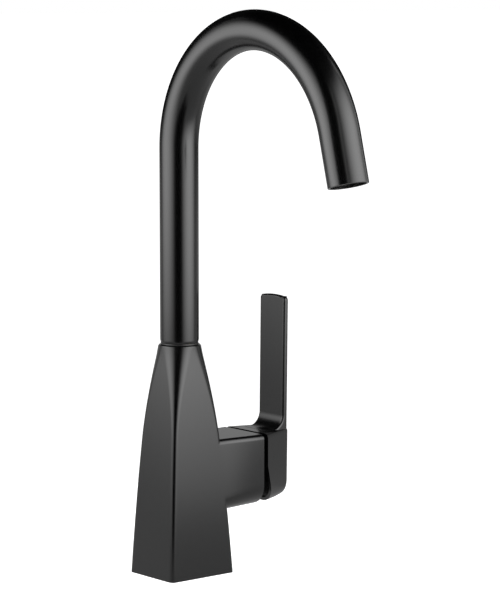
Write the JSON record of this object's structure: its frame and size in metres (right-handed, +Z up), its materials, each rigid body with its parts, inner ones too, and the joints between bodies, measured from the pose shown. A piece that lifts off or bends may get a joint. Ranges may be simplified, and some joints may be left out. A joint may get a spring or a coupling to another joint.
{
  "type": "bar faucet",
  "caption": "Gooseneck bar faucet with a tapering square body, a swivelling tube spout and a blade handle on a side block.",
  "frame": {"origin": "on the deck, under the vertical axis of the spout, at the centre of the two stud holes", "axes": "+Z up, -Y the way the spout points at rest, +X towards the handle"},
  "size_m": [0.1088, 0.1983, 0.3684],
  "materials": {
    "black_coat": "satin black",
    "black_plastic": "matte",
    "white_plastic": "matte",
    "brass": "turned",
    "stainless": "brushed",
    "rubber": "matte",
    "ceramic": "lapped"
  },
  "bodies": {
    "body": {"body_shell": "black_coat", "deck_gasket": "rubber", "waterway_core": "brass", "core_screws": "stainless", "glide_ring": "black_plastic", "spout_lock_screw": "stainless", "cartridge_base": "white_plastic", "port_seals": "rubber", "disc_seals": "rubber", "cartridge_housing": "white_plastic", "fixed_disc": "ceramic", "retaining_nut": "brass", "trim_ring": "black_plastic"},
    "spout": {"spout_tube": "black_coat", "spout_shank": "brass", "shank_o_rings": "rubber", "outlet_bush": "black_plastic", "aerator_body": "black_plastic", "flow_straightener": "white_plastic", "aerator_screen": "stainless", "aerator_seal": "rubber"},
    "guide": {"turn_guide": "white_plastic", "lever_pin": "stainless"},
    "disc": {"moving_disc": "ceramic", "disc_carrier": "white_plastic"},
    "lever": {"lever_stem": "brass", "stem_adapter": "black_plastic", "lever_handle": "black_coat", "handle_set_screw": "stainless", "handle_plug": "black_plastic"}
  },
  "joints": [
    {"name": "spout_swivel", "type": "hinge", "parent": "body", "child": "spout", "pos_m": [0, 0, 0.1512], "axis": [0, 0, 1], "continuous": true},
    {"name": "handle_turn", "type": "hinge", "parent": "body", "child": "guide", "pos_m": [0.036, 0, 0.0643], "axis": [1, 0, 0], "range_deg": [-45, 45]},
    {"name": "handle_lift", "type": "hinge", "parent": "guide", "child": "lever", "pos_m": [0.036, 0, 0.0643], "axis": [0, 1, 0], "range_deg": [0, 18]},
    {"name": "disc_slide", "type": "slide", "parent": "guide", "child": "disc", "axis": [0, 0, 1], "range_m": [0, 0.0028]}
  ],
  "couplings": [
    {"joint": "disc_slide", "follows": "handle_lift", "m_per_rad": 0.00836}
  ]
}
